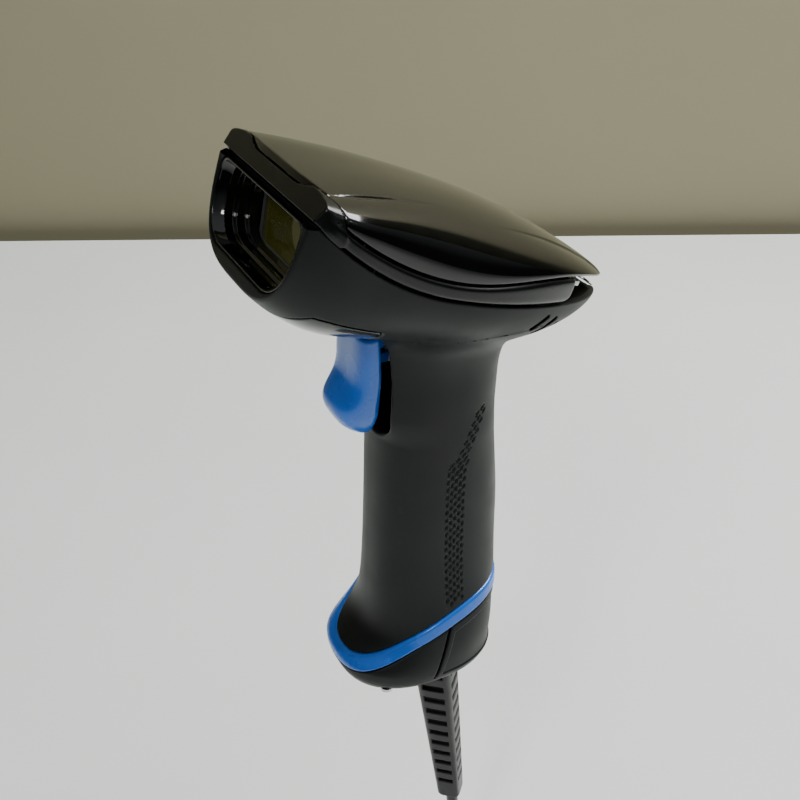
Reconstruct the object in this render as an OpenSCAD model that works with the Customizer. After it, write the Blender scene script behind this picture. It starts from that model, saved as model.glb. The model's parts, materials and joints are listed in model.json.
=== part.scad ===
// Handheld barcode scanner with a pistol grip.
// Millimetres. +X is the way the scan window looks, +Y the scanner's left, +Z up the grip.
// The origin is the centre of the flat underside of the base.

/* [Head] */
// Half the width of the head at its widest
head_half_w = 32.4; // [30:0.2:34]
// Angle the head is tilted up from level
head_tilt = 19.5; // [15:0.5:24]
// Height of the head's axis above the base
head_z = 146; // [144:0.5:150]
// Length of the head behind the grip axis
tail_len = 56.5; // [54:0.5:58]
// Distance from the grip axis to the rim of the window hood
rim_u = 52.5; // [50:0.5:54]
// Height of the crown of the glossy cover above the head's axis
crown_h = 14.2; // [13:0.2:16]
// Depth of the belly below the head's axis
belly_h = 26; // [25:0.2:27]
// Thickness of the moulded walls
wall = 2.2; // [1.8:0.1:2.6]

/* [Window hood] */
// Half the width of the hood's mouth along its top edge
mouth_top = 24.6; // [23:0.2:26]
// Half the width of the hood's mouth along its bottom edge
mouth_bottom = 19; // [17:0.2:20]
// Height of the mouth's top edge above the head's axis
mouth_high = 3; // [2:0.2:4]
// Depth of the mouth's bottom edge below the head's axis
mouth_low = 15.8; // [14:0.2:17]
// Distance from the grip axis to the scan window
window_u = 41; // [38:0.5:43]

/* [Grip] */
// Front of the grip, measured from the base centre
grip_front = 17.1; // [16:0.1:18]
// Half the width of the grip at its slimmest
grip_half_w = 16.6; // [16:0.1:18]
// How far the toe of the base stands out past the grip's front
toe_out = 11; // [8:0.5:12]
// Half the width of the base across its widest level
base_half_w = 22.6; // [21:0.2:24]

/* [Ring and base] */
// Height of the blue ring's lower edge at the toe
ring_front_z = 6.4; // [6:0.2:9]
// Height of the blue ring's lower edge at the heel
ring_rear_z = 28.8; // [25:0.2:32]
// Height of the ring's band
ring_h = 4.6; // [3.5:0.1:5.5]
// Thickness of the bottom cap
cap_t = 4.7; // [4:0.1:5.5]

/* [Trigger] */
// Angle of travel of the trigger
trigger_travel = 6; // [4:0.5:7]
// Half the width of the trigger's finger face
trigger_half_w = 9.4; // [8:0.2:9.6]
// Diameter of the trigger's pivot pin
pin_d = 2.5; // [2:0.1:3]

/* [Cable] */
// Lean of the cable boot from vertical
boot_lean = 8.5; // [5:0.5:12]
// Length of the boot below the base
boot_len = 86; // [70:1:90]
// Diameter of the cable
cable_d = 4.4; // [4:0.1:5]
// Mean radius of the tied coil of cable
coil_r = 34; // [30:1:40]
// Turns in the tied coil
coil_turns = 3; // [2:1:4]

/* [Hidden] */

gap = 0.25;                 // clearance between neighbouring shells
half_steps = 15;            // facets around half of a head section
grip_steps = 34;            // facets around a grip section
hood_u = 45.5;              // where the cover's front edge meets the side of the head
cover_u = 50;               // cover's front edge on the centre line
pin_x = 14;                 // trigger pivot, forward of the base centre
pin_z = 125.5;              // trigger pivot, above the base
switch_z = 113.5;           // level of the trigger switch
jack_x = -8;                // where the boot's axis crosses the base underside
coil_z = -122;              // level of the coil's first turn
wire_r = 0.5;               // radius of one harness wire
screw_spots = [[-38, 15], [32, 26.3]]; // frame screws on the left side, in the head's axes
cap_screw = [17, 14.6];     // cap screw on the left side
board_t = 1.6;              // thickness of the circuit boards
m2_r = 1;                   // thread radius of the small screws
board_screw_spots = [for (u = [-26, 4, 26], y = [-11, 11]) [u, y]]; // in the head's axes
mouth_corner = 3.5;         // radius of the hood's corners
lip_count = 3;              // steps in the hood's lining
lining_gap = 0.75;          // from the mouth's outline to the lining
cable_hole_r = 7.6;         // hole in the bottom cap for the plug and the neck of the boot
window_lap = 1.6;           // how far the window reaches behind the lining's last step
trigger_top = 125.2;        // level of the trigger's upper end
plunger_travel = (pin_z - switch_z) * sin(trigger_travel); // how far the trigger pushes the plunger
plunger_head = 1.9 - plunger_travel; // thickness of the plunger's head, clear of the switch when pressed
boot_top_w = 14.4;          // width of the boot under the base
boot_tip_w = 8.6;           // width of the boot at its tip
boot_in = 3;                // length of the boot inside the base
boot_neck = 2.2;            // length of the boot's round neck below the base
slot_count = 11;            // slots down each face of the boot
latch_root = [-5.55, 15.2]; // where the plug's latch bends, across and along the boot

// ---- helpers -------------------------------------------------------------

// Closed skin through rings of points, each ring counter-clockwise seen from the far end.
module skin(rings) {
    n = len(rings[0]);
    m = len(rings);
    sides = [for (i = [0 : m - 2], j = [0 : n - 1]) let (k = (j + 1) % n)
        each [[i * n + j, (i + 1) * n + k, i * n + k], [i * n + j, (i + 1) * n + j, (i + 1) * n + k]]];
    near_cap = [for (j = [0 : n - 1]) j];
    far_cap = [for (j = [n - 1 : -1 : 0]) (m - 1) * n + j];
    polyhedron([for (r = rings) each r], concat(sides, [near_cap, far_cap]), convexity = 8);
}

// One mesh out of a construction of many skins.
module one_mesh() {
    resize([0, 0, 0]) children();
}

module in_head() {
    translate([0, 0, head_z]) rotate([0, -head_tilt, 0]) children();
}

module at_pivot() {
    translate([pin_x, 0, pin_z]) children();
}

module along_boot() {
    translate([jack_x, 0, 0]) rotate([0, boot_lean, 0]) children();
}

function bow(c, e) = sign(c) * pow(abs(c), e);
function mix(a, b, t) = a + (b - a) * t;
function ramp(x, lo, hi) = min(1, max(0, (x - lo) / (hi - lo)));
function smooth(x, lo, hi) = let (t = ramp(x, lo, hi)) t * t * (3 - 2 * t);

// Tube swept along a path, its rings square to the path. Each ring's up is a direction never along it.
function tube_ring(path, i, r, sides, up) =
    let (m = len(path),
        d = path[min(m - 1, i + 1)] - path[max(0, i - 1)],
        s = cross(d, up) / norm(cross(d, up)),
        t = cross(s, d) / norm(cross(s, d)))
    [for (j = [0 : sides - 1]) let (a = -360 * j / sides) path[i] + r * (s * cos(a) + t * sin(a))];

module tube(path, r, sides, ups) {
    skin([for (i = [0 : len(path) - 1]) tube_ring(path, i, r, sides, ups[i])]);
}

module rounded_plate(size, r) {
    linear_extrude(size[2]) rounded_rect(size[0], size[1], r);
}

module rounded_rect(w, h, r) {
    hull() for (x = [-1, 1], y = [-1, 1]) translate([x * (w / 2 - r), y * (h / 2 - r)]) circle(r, $fn = 24);
}

module screw(head_r, head_h, length) {
    difference() {
        union() {
            cylinder(h = head_h, r = head_r, $fn = 32);
            translate([0, 0, -length]) cylinder(h = length + 0.1, r = m2_r, $fn = 32);
        }
        translate([0, 0, head_h - 0.7]) linear_extrude(1) square([head_r * 1.2, 0.5], center = true);
        translate([0, 0, head_h - 0.7]) linear_extrude(1) square([0.5, head_r * 1.2], center = true);
    }
}

// ---- outline of the head, in its own axes: u forward, y left, v up ---------

function crown(u) = u > 20 ? crown_h - 2.9 * pow((u - 20) / 31.5, 2)
    : crown_h - (crown_h - 1.6) * pow((20 - u) / (20 + tail_len), 2.2);
function belly(u) = u > 33 ? -belly_h + 6.5 * pow((u - 33) / 19.5, 2)
    : -belly_h + (belly_h - 1) * pow((33 - u) / (33 + tail_len), 2.4);
function half_width(u) = u > 35 ? head_half_w - 4.4 * pow((u - 35) / (rim_u - 35), 2.6)
    : head_half_w * (u > 15 ? 1 : pow(1 - pow((15 - u) / (15 + tail_len + 0.4), 2.3), 0.62));
function cover_edge(u) = u > 12 ? -1 + 10.5 * pow((u - 12) / 40, 2) : 1.4 - 2.4 * cos(180 * (12 - u) / 42);
function seam(u) = u > 12 ? -6 + 11.5 * pow((u - 12) / 40, 2) : -4.5 - 1.5 * cos(180 * (12 - u) / 68);
function taper(u) = 0.2 * smooth(u, 25, rim_u);

// Stations crowd together where the tail closes.
function station(i, n, back, front) = back + (front - back) * pow(i / n, 1.45);

function upper_ring(u, inset, base_v) =
    let (w = max(0.4, half_width(u) - inset),
        h = max(0.3, crown(u) - inset - cover_edge(u)),
        e = 2 / mix(2.1, 3, smooth(u, -20, rim_u)))
    concat([[u, w, base_v]],
        [for (i = [0 : half_steps]) let (a = 180 * i / half_steps)
            [u, w * bow(cos(a), e), cover_edge(u) + 0.05 + h * bow(sin(a), e)]],
        [[u, -w, base_v]]);

function lower_ring(u, inset, top_v) =
    let (w = max(0.4, half_width(u) - inset),
        h = max(0.3, seam(u) - belly(u) - inset),
        e = 2 / mix(2.2, 3.4, smooth(u, 10, rim_u)))
    concat([for (i = [0 : half_steps]) let (a = 180 + 180 * i / half_steps, s = bow(sin(a), e))
            [u, w * bow(cos(a), e) * (1 + taper(u) * s), seam(u) - 0.05 + h * s]],
        [[u, w, top_v], [u, -w, top_v]]);

module upper_solid(inset, front, drop) {
    skin([for (i = [0 : 24]) let (u = station(i, 24, -tail_len + inset, front))
        upper_ring(u, inset, cover_edge(u) - drop)]);
}

module lower_solid(inset, front, rise) {
    skin([for (i = [0 : 22]) let (u = station(i, 22, -tail_len + inset, front))
        lower_ring(u, inset, seam(u) + rise)]);
}

// Band between the seam and the cover, standing a little proud of both.
module bead_solid(proud, front) {
    skin([for (i = [0 : 24])
        let (u = station(i, 24, -tail_len - proud, front),
            w = max(0.5, half_width(max(u, -tail_len + 0.02)) + proud * (u < -tail_len ? 0.2 : 1)),
            lo = seam(u) + gap,
            hi = cover_edge(u) - gap,
            mid = (lo + hi) / 2)
        [[u, w - 0.9, lo], [u, w, mix(lo, hi, 0.25)], [u, w + 0.15, mid], [u, w, mix(lo, hi, 0.75)],
            [u, w - 0.9, hi], [u, -w + 0.9, hi], [u, -w, mix(lo, hi, 0.75)], [u, -w - 0.15, mid],
            [u, -w, mix(lo, hi, 0.25)], [u, -w + 0.9, lo]]]);
}

// Everything in front of the cover's front edge, which sweeps back at its ends.
module ahead_of_cover(shift) {
    edge = [for (i = [-12 : 12]) let (y = i * 3)
        [cover_u + shift - (cover_u - hood_u) * pow(min(1, abs(y) / 31), 3), y]];
    translate([0, 0, -40]) linear_extrude(80)
        polygon(concat(edge, [[80, 36], [80, -36]]));
}

// Prism through the hood's mouth, shrunk all round.
module mouth_prism(inset, from_u, to_u) {
    translate([from_u, 0, 0]) rotate([90, 0, 90]) linear_extrude(to_u - from_u)
        mouth_outline(inset, inset);
}

// The mouth is a rounded trapezoid, shrunk at its sides and at its top and bottom edges.
module mouth_outline(side, edge) {
    offset(r = mouth_corner, $fn = 32) offset(delta = -mouth_corner)
        polygon([[side - mouth_top, mouth_high - edge], [mouth_top - side, mouth_high - edge],
            [mouth_bottom - side, edge - mouth_low], [side - mouth_bottom, edge - mouth_low]]);
}

// ---- outline of the grip and base ----------------------------------------

function toe(z) = z < 7 ? toe_out - 2.6 * pow(1 - z / 7, 2) : toe_out * exp(-pow((z - 7) / 8.5, 1.6));
function root(z) = pow(ramp(z, 106, 128), 2.4);
function front_x(z) = grip_front + toe(z) + 3 * root(z);
function rear_x(z) = -25.2 + 1.1 * smooth(z, 30, 62) + 3.8 * smooth(z, 55, 97) - 9 * root(z);
function side_y(z) = z < 8 ? base_half_w - 3.8 * pow(1 - z / 8, 2)
    : mix(grip_half_w, base_half_w, exp(-pow((z - 8) / 24, 2))) + 6 * root(z);

function grip_ring(z, inset) =
    let (a = (front_x(z) - rear_x(z)) / 2 - inset, b = side_y(z) - inset, c = (front_x(z) + rear_x(z)) / 2)
    [for (i = [0 : grip_steps - 1]) let (t = 360 * i / grip_steps)
        [c + a * bow(cos(t), 2 / 2.3), b * bow(sin(t), 2 / 2.3), z]];

module grip_solid(inset, low, high) {
    marks = concat([for (z = [0 : 2 : 26]) z], [for (z = [30 : 8 : 102]) z], [for (z = [106 : 4 : 126]) z]);
    levels = concat([low], [for (z = marks) if (z > low + 0.5 && z < high - 0.5) z], [high]);
    skin([for (z = levels) grip_ring(z, inset)]);
}

function ring_z(x) = let (t = ramp(front_x(8) - x, 0, front_x(8) - rear_x(20)))
    ring_front_z + (ring_rear_z - ring_front_z) * (t + 0.8 * t * (1 - t));

// Everything below the ring's lower edge raised by a given amount.
module below_ring(rise) {
    curve = [for (i = [0 : 24]) let (x = mix(32, -32, i / 24)) [x, ring_z(x) + rise]];
    rotate([90, 0, 0]) translate([0, 0, -40]) linear_extrude(80)
        polygon(concat(curve, [[-32, -20], [32, -20]]));
}

// Everything behind the slanted groove at the front of the rear door.
module behind_groove(shift) {
    rotate([90, 0, 0]) translate([0, 0, -40]) linear_extrude(80)
        polygon([[-40, -5], [7.4 + shift, -5], [-6.6 + shift, 40], [-40, 40]]);
}

// ---- casings --------------------------------------------------------------

module main_body() {
    color("#34373b") one_mesh() difference() {
        union() {
            body_shell();
            intersection() {
                body_core();
                body_ribs();
            }
        }
        below_ring(ring_h + gap);
        in_head() mouth_prism(gap * 2, rim_u - 14, rim_u + 5);
        in_head() translate([rim_u - 14, -mouth_top, 0]) cube([20, 2 * mouth_top, 20]);
        in_head() at_frame_screws() translate([0, 0, -9]) cylinder(h = 12, r = m2_r + 0.05, $fn = 24);
        trigger_opening();
        pivot_pocket();
        in_head() difference() {
            chin_prism(gap);
            lower_solid(1.5, rim_u, 6);
        }
        in_head() sound_slots();
    }
}

module body_outside() {
    in_head() lower_solid(0, rim_u, 0);
    grip_solid(0, 2, 128);
}

// The body's solid shape a little inside its surface.
module body_core() {
    in_head() lower_solid(wall / 3, rim_u, 3);
    grip_solid(wall / 3, 2, 127);
}

module body_shell() {
    difference() {
        union() body_outside();
        in_head() lower_solid(wall, rim_u - 8, 6);
        grip_solid(wall, 2, 126);
    }
}

// Bosses for the frame screws, shelves under the chassis and stops behind the trigger's bracket.
module body_ribs() {
    in_head() at_frame_screws() translate([0, 0, -9]) cylinder(h = 9 + gap, r = 2.9, $fn = 24);
    in_head() for (u = [-16, 27], side = [-1, 1]) {
        translate([u, side * 24.1 - 9.5, -16]) cube([2, 19, 8.7]);
        translate([u, side * 17.8 - 3.2, -16]) cube([2, 6.4, 12.2]);
    }
    for (side = [-1, 1], z = [97, 116]) translate([0.4, side * 13 - 3.6, z]) cube([2.8, 7.2, 4]);
}

module at_frame_screws() {
    for (spot = screw_spots, side = [-1, 1])
        translate([spot[0], side * spot[1], seam(spot[0])]) children();
}

module trigger_opening() {
    rotate([90, 0, 0]) translate([0, 0, -10.1]) linear_extrude(20.2)
        polygon([[8, 92], [24, 88.5], [40, 94], [40, 125.8], [8, 125.8]]);
}

// Room in the roof of the opening for the bracket and the trigger's arms.
module pivot_pocket() {
    rotate([90, 0, 0]) translate([0, 0, -10.1]) linear_extrude(20.2)
        polygon([[2.8, 118], [2.8, 130.5], [17.6, 130.5], [17.9, 128.3],
            [21, 126.6], [22.4, 125], [22.4, 118]]);
}

module chin_prism(grow) {
    translate([26.5, 0, -belly_h - 5]) rounded_plate([22 + 2 * grow, 17 + 2 * grow, 12], 3);
}

// Three slanted slots that let the buzzer's sound out.
module sound_slots() {
    for (i = [-1 : 1])
        translate([-25.4 - 3.5 * i, 23, -10.9 - 1.3 * i]) rotate([0, 48, 0])
            cube([i == 0 ? 8.5 : 6.5, 26, 1.2], center = true);
}

module upper_frame() {
    color("#1c1d1f") one_mesh() in_head() difference() {
        union() {
            bead_solid(0.5, rim_u - 3);
            intersection() {
                upper_solid(0, rim_u, 0.5);
                ahead_of_cover(gap);
            }
            skin([for (i = [0 : 6]) let (u = mix(hood_u - 6, rim_u, i / 6), w = half_width(u))
                [[u, w - 0.2, seam(u) + gap], [u, w, cover_edge(u) - gap], [u, 0, cover_edge(u)],
                    [u, -w, cover_edge(u) - gap], [u, -w + 0.2, seam(u) + gap]]]);
        }
        difference() {
            frame_hollow();
            at_frame_screws() translate([0, 0, gap * 2]) cylinder(h = 2, r = 4.2, $fn = 24);
        }
        at_frame_screws() cylinder(h = 12, r = m2_r + 0.15, $fn = 24);
        at_frame_screws() translate([0, 0, 2 + gap * 2]) cylinder(h = 12, r = 3.3, $fn = 24);
        mouth_prism(gap * 2, 30, rim_u + 5);
        translate([rim_u + 0.2, 0, 4]) rotate([0, -24, 0]) translate([0, -40, 0]) cube([20, 80, 30]);
    }
}

module frame_hollow() {
    skin([for (i = [0 : 20])
        let (u = station(i, 20, -tail_len + 3, rim_u - 4), w = max(0.5, half_width(u) - 3))
        [[u, w, seam(u) - 9], [u, w, crown(u) - 3.4], [u, -w, crown(u) - 3.4], [u, -w, seam(u) - 9]]]);
}

module top_cover() {
    color("#0b0b0c") one_mesh() in_head() difference() {
        upper_solid(0, cover_u + 1, 0);
        upper_solid(2, cover_u + 3, 4);
        ahead_of_cover(0);
    }
}

// Stepped lining of the hood, narrowing towards the window.
module window_bezel() {
    depth = rim_u - 0.3 - window_u;
    color("#121314") in_head() translate([window_u, 0, 0]) rotate([90, 0, 90]) difference() {
        linear_extrude(depth) mouth_outline(lining_gap, lining_gap);
        for (i = [0 : lip_count])
            translate([0, 0, i == lip_count ? -1 : depth * (1 - (i + 1) / (lip_count + 1))])
                linear_extrude(depth + 2) mouth_outline(lip_side(i), lip_edge(i));
    }
}

function lip_side(i) = 1.7 + 1.1 * i;
function lip_edge(i) = 1.5 + 0.3 * i;

module scan_window() {
    color("#3a3a20") in_head() translate([window_u - 2.1, 0, 0]) rotate([90, 0, 90])
        linear_extrude(1.5) window_outline();
}

module window_outline() {
    mouth_outline(lip_side(lip_count) - window_lap, lip_edge(lip_count) - window_lap * 0.6);
}

module window_gasket() {
    color("#17181a") in_head() translate([window_u - 0.6, 0, 0]) rotate([90, 0, 90]) difference() {
        linear_extrude(0.6) window_outline();
        translate([0, 0, -1]) linear_extrude(3) mouth_outline(lip_side(lip_count), lip_edge(lip_count));
    }
}

module chin_plate() {
    color("#3b3d40") one_mesh() in_head() intersection() {
        chin_prism(0);
        difference() {
            lower_solid(0.1, rim_u, -6);
            lower_solid(1.25, rim_u, 6);
        }
    }
}

module base_ring() {
    color("#1d7fd6") one_mesh() difference() {
        grip_solid(-0.45, 4, 44);
        grip_solid(2.4, 2, 46);
        below_ring(0);
        difference() {
            translate([-50, -50, -5]) cube([100, 100, 90]);
            below_ring(ring_h);
        }
    }
}

module base_walls() {
    difference() {
        intersection() {
            grip_solid(0, cap_t + gap, 40);
            below_ring(-gap);
        }
        grip_solid(2.4, 2, 44);
    }
}

module base_shell() {
    color("#2e3135") one_mesh() difference() {
        union() {
            base_walls();
            intersection() {
                grip_solid(1, cap_t + gap, 40);
                below_ring(-gap);
                at_cap_screws() cylinder(h = 12, r = 3, $fn = 24);
            }
        }
        at_cap_screws() cylinder(h = 13, r = m2_r + 0.05, $fn = 24);
        behind_groove(0);
    }
}

module rear_door() {
    color("#2b2e32") one_mesh() difference() {
        intersection() {
            base_walls();
            behind_groove(-0.5);
        }
        // A pin pushed in here frees the cable's latch
        translate([-30, 0, 8.4]) rotate([0, 90, 0]) cylinder(h = 12, r = 1.1, $fn = 20);
    }
}

module bottom_cap() {
    color("#2a2c30") one_mesh() difference() {
        grip_solid(0.35, 0, cap_t);
        grip_solid(3, cap_t - 2, cap_t + 2);
        along_boot() translate([0, 0, -10]) cylinder(h = 30, r = cable_hole_r, $fn = 64);
        at_cap_screws() translate([0, 0, -1]) cylinder(h = 8, r = 1.3, $fn = 24);
        at_cap_screws() translate([0, 0, -1]) cylinder(h = 2.3, r = 2.4, $fn = 24);
    }
}

module at_cap_screws() {
    for (side = [-1, 1]) translate([cap_screw[0], side * cap_screw[1], 0]) children();
}

// ---- works inside the head ------------------------------------------------

module chassis() {
    color("#5b5e63") in_head() difference() {
        union() {
            translate([-28.5, -15, -3.6]) cube([58.5, 30, 2]);
            for (y = [-15, 13]) translate([8, y, -14.4]) cube([18, 2, 11]);
            for (p = board_screw_spots) translate([p[0], p[1], -1.7]) cylinder(h = 1.7, r = 2.4, $fn = 32);
        }
        for (p = board_screw_spots) translate([p[0], p[1], -6]) cylinder(h = 9, r = m2_r + 0.03, $fn = 32);
        for (side = [-1, 1]) translate([17, side * 16, -9.4]) rotate([90, 0, 0])
            cylinder(h = 6, r = 1.2, center = true, $fn = 32);
    }
}

module engine_housing() {
    color("#26272a") in_head() difference() {
        translate([9, -12.6, -15.4]) cube([20, 25.2, 11.4]);
        translate([11, -11, -14]) cube([22, 22, 8.6]);
        for (side = [-1, 1]) translate([17, side * 12.6, -9.4]) rotate([90, 0, 0])
            cylinder(h = 5, r = m2_r + 0.03, center = true, $fn = 32);
    }
}

module lens_barrel() {
    color("#1a1a1c") in_head() translate([17, 0, -9.7]) rotate([0, 90, 0]) difference() {
        cylinder(h = 9, r = 3.6, $fn = 48);
        translate([0, 0, -1]) cylinder(h = 12, r = 2.6, $fn = 48);
        translate([0, 0, 6.6]) cylinder(h = 4, r = 3, $fn = 48);
    }
}

module imaging_lens() {
    color("#7fa6b8") in_head() translate([23.7, 0, -9.7]) rotate([0, 90, 0]) intersection() {
        cylinder(h = 2.2, r = 2.9, $fn = 48);
        translate([0, 0, -4.2]) sphere(r = 6.2, $fn = 64);
    }
}

module image_sensor() {
    color("#3d4a55") in_head() translate([13.5, -3.5, -13]) cube([1.2, 7, 6.4]);
}

module engine_board() {
    color("#1f5b3a") in_head() translate([11.9, -10.4, -13.7]) cube([1.4, 20.8, 8]);
}

module illumination_leds() {
    color("#f4f0d8") in_head() for (y = [-7.4, 7.4]) translate([13.5, y, -9.7]) rotate([0, 90, 0]) {
        translate([-1.8, -1.8, 0]) cube([3.6, 3.6, 1.2]);
        translate([0, 0, 1.2]) difference() {
            cylinder(h = 7, r1 = 1.6, r2 = 2.9, $fn = 40);
            translate([0, 0, 5.6]) cylinder(h = 3, r = 2.2, $fn = 40);
        }
    }
}

module aimer() {
    color("#a8342c") in_head() translate([13.5, 0, -6.9]) rotate([0, 90, 0]) {
        translate([-0.7, 4.6, 0]) cylinder(h = 8, r = 0.75, $fn = 32);
    }
}

module main_board() {
    color("#1d6a40") in_head() difference() {
        translate([-36, -16, 0.1]) cube([68, 32, board_t]);
        for (p = board_screw_spots) translate([p[0], p[1], -1]) cylinder(h = 6, r = 1.15, $fn = 32);
    }
}

module board_chips() {
    top = board_t + 0.1;
    color("#202124") in_head() {
        translate([-10, -6, top]) cube([12, 12, 1.4]);
        translate([-22, -4, top]) cube([8, 8, 1.1]);
        translate([10, 1, top]) cube([8, 6, 1]);
        translate([10, -8, top]) cube([5, 5, 0.9]);
        for (i = [0 : 4], y = [10.4, -12.4]) translate([-22 + 5 * i, y, top]) cube([2.4, 1.4, 0.9]);
    }
}

module board_sockets() {
    top = board_t + 0.1;
    color("#e9e4d4") in_head() {
        difference() {
            translate([28.2, -5.6, top]) cube([3.4, 11.2, 1.6]);
            translate([29.4, -4.8, top + 0.5]) cube([3.4, 9.6, 0.6]);
        }
        difference() {
            translate([-35, -5, -3.5]) cube([5.6, 10, 3.5]);
            translate([-34.2, -4.2, -4.5]) cube([4, 8.4, 3.6]);
        }
    }
}

module flex_cable() {
    // A flat ribbon from the socket over the board's front edge and down to the engine's board.
    color("#c9803a") in_head() translate([0, 4.4, 0]) rotate([90, 0, 0]) linear_extrude(8.8) {
        polygon([[30, 2.35], [33.6, 2.35], [34.2, 1.8], [34.2, -3.7], [33.6, -4.3], [33.6, -4.55],
            [34.45, -3.8], [34.45, 1.9], [33.7, 2.6], [30, 2.6]]);
    }
}

module buzzer() {
    color("#1b1b1d") in_head() translate([-26, 10.5, -10.3]) difference() {
        cylinder(h = 6.2, r = 5.6, $fn = 48);
        translate([0, 0, -0.5]) cylinder(h = 1.5, r = 1.2, $fn = 24);
    }
}

// ---- trigger and its switch ------------------------------------------------

module trigger_bracket() {
    color("#606368") difference() {
        union() {
            for (y = [-7.4, 9.2]) translate([0, y, 0]) rotate([90, 0, 0]) linear_extrude(1.8)
                polygon([[4, 106.6], [15, 106.6], [15, 120.5], [17, 122], [17, 129.2], [4, 129.2]]);
            translate([3.4, -9.2, 95]) cube([1.8, 18.4, 34.2]);
        }
        at_pivot() rotate([90, 0, 0]) cylinder(h = 40, r = pin_d / 2 + 0.02, center = true, $fn = 48);
        translate([4, 0, 100]) rotate([0, 90, 0]) cylinder(h = 6, r = m2_r + 0.03, center = true, $fn = 32);
    }
}

// Front, back and half-width of the trigger at a height.
function trigger_front(z) = 26.2 + 4.4 * exp(-pow((z - 101.5) / 6.2, 2))
    - 5.5 * pow(ramp(97.5 - z, 0, 5.5), 2);
function trigger_back(z) = 17.8 + 5.5 * pow(1 - ramp(z, 92, 104), 1.7) + 0.6 * ramp(z, 112, 122);
function trigger_side(z) = trigger_half_w * pow(1 - pow(1 - ramp(z, 91, 106), 2.6), 0.5);

module trigger() {
    color("#1f86e0") difference() {
        union() {
            one_mesh() difference() {
                trigger_face();
                translate([8, -6.2, 98]) cube([13, 12.4, 20]);
            }
            trigger_arm();
            // The rib that pushes the switch's plunger
            translate([13.1, -1.5, switch_z - 1.5]) cube([9, 3, 3]);
        }
        at_pivot() rotate([90, 0, 0]) cylinder(h = 40, r = pin_d / 2 + 0.06, center = true, $fn = 48);
    }
}

module trigger_face() {
    skin([for (i = [0 : 16])
        let (z = mix(92.4, trigger_top, i / 16),
            f = trigger_front(z),
            k = trigger_back(z),
            w = trigger_side(z))
        [for (j = [0 : 23]) let (a = 360 * j / 24)
            [mix(k, f, 0.38) + (cos(a) > 0 ? 0.62 : 0.38) * (f - k) * bow(cos(a), 0.8),
                w * bow(sin(a), 0.7), z]]]);
}

module trigger_arm() {
    for (y = [-4.2, 6.4]) translate([0, y, 0]) rotate([90, 0, 0]) linear_extrude(2.2) hull() {
        translate([pin_x, pin_z]) circle(3.1, $fn = 48);
        translate([20.9, 121]) circle(2.4, $fn = 48);
    }
}

module trigger_pin() {
    color("#c8ccd0") at_pivot() rotate([90, 0, 0])
        cylinder(h = 19.4, r = pin_d / 2, center = true, $fn = 48);
}

module trigger_spring() {
    turns = 4;
    steps = 12 * turns;
    coil = [for (i = [0 : steps]) let (a = 360 * i / 12 + 40)
        [2.3 * cos(a), -2.6 + 5.2 * i / steps, 2.3 * sin(a)]];
    color("#b9bdc2") at_pivot() tube(coil, 0.35, 5, [for (point = coil) [0, 1, 0]]);
}

module switch_board() {
    color("#1d6a40") difference() {
        translate([5.3, -7, 98]) cube([board_t, 14, 22]);
        translate([4, 0, 100]) rotate([0, 90, 0]) cylinder(h = 6, r = 1.15, center = true, $fn = 32);
    }
}

module trigger_switch() {
    color("#232427") translate([5.3 + board_t, 0, switch_z]) difference() {
        translate([0, -3.2, -3.2]) cube([4, 6.4, 6.4]);
        translate([1, 0, 0]) rotate([0, 90, 0]) cylinder(h = 10, r = 1.35, $fn = 40);
    }
}

module switch_plunger() {
    color("#e8e4da") translate([9.3, 0, switch_z]) rotate([0, 90, 0]) {
        cylinder(h = 3.4, r = 1.3, $fn = 40);
        translate([0, 0, 3.65 - plunger_head]) cylinder(h = plunger_head, r = 1.9, $fn = 40);
    }
}

// ---- works inside the grip and base ----------------------------------------

module jack_board() {
    color("#1d6a40") along_boot() difference() {
        translate([7, -8.5, 6]) cube([board_t, 17, 26]);
        translate([7, 0, 29]) rotate([0, 90, 0]) cylinder(h = 6, r = 1.15, center = true, $fn = 32);
    }
}

module modular_jack() {
    color("#1e1f22") along_boot() difference() {
        translate([-6.6, -7.6, 5.6]) cube([13.4, 15.2, 17]);
        translate([-5.2, -5.2, 4]) cube([10.4, 10.4, 16]);
        translate([-6.9, -2.6, 4]) cube([3, 5.2, 13]);
    }
}

module jack_contacts() {
    color("#d8b24a") along_boot()
        for (i = [0 : 7]) translate([4.55, -4 + 1.14 * i - 0.2, 12]) cube([0.5, 0.4, 8]);
}

function bezier(p, t) = pow(1 - t, 3) * p[0] + 3 * t * pow(1 - t, 2) * p[1]
    + 3 * t * t * (1 - t) * p[2] + pow(t, 3) * p[3];

module wire_harness() {
    route = [[-3, 0, 33], [0, 0, 112], [-16, 0, 128], [-29.6, 0, 131.2]];
    shades = ["#b02a2a", "#202020", "#2b6bb0", "#d8d8d8"];
    for (i = [0 : 3]) color(shades[i])
        tube([for (k = [0 : 12]) bezier(route, k / 12) + [0, -1.8 + 1.2 * i, 0]], wire_r, 6,
            [for (k = [0 : 12]) [0, 1, 0]]);
}

// ---- fasteners --------------------------------------------------------------

module frame_screws() {
    color("#9a9da1") in_head() at_frame_screws() translate([0, 0, 2.05 + gap * 2]) screw(2, 1.2, 9);
}

module cap_screws() {
    color("#9a9da1") at_cap_screws() translate([0, 0, 1.2]) rotate([180, 0, 0]) screw(2, 1.05, 9);
}

module board_screws() {
    color("#9a9da1") in_head() for (p = board_screw_spots)
        translate([p[0], p[1], board_t + 0.15]) screw(1.8, 1.1, 5);
}

module bracket_screws() {
    color("#9a9da1") {
        translate([5.3 + board_t + 0.05, 0, 100]) rotate([0, 90, 0]) screw(1.8, 1.1, 4.6);
        in_head() for (side = [-1, 1])
            translate([17, side * 15.05, -9.4]) rotate([-90 * side, 0, 0]) screw(1.8, 0.9, 3.4);
    }
}

// ---- cable, its boot and both plugs ------------------------------------------

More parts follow.
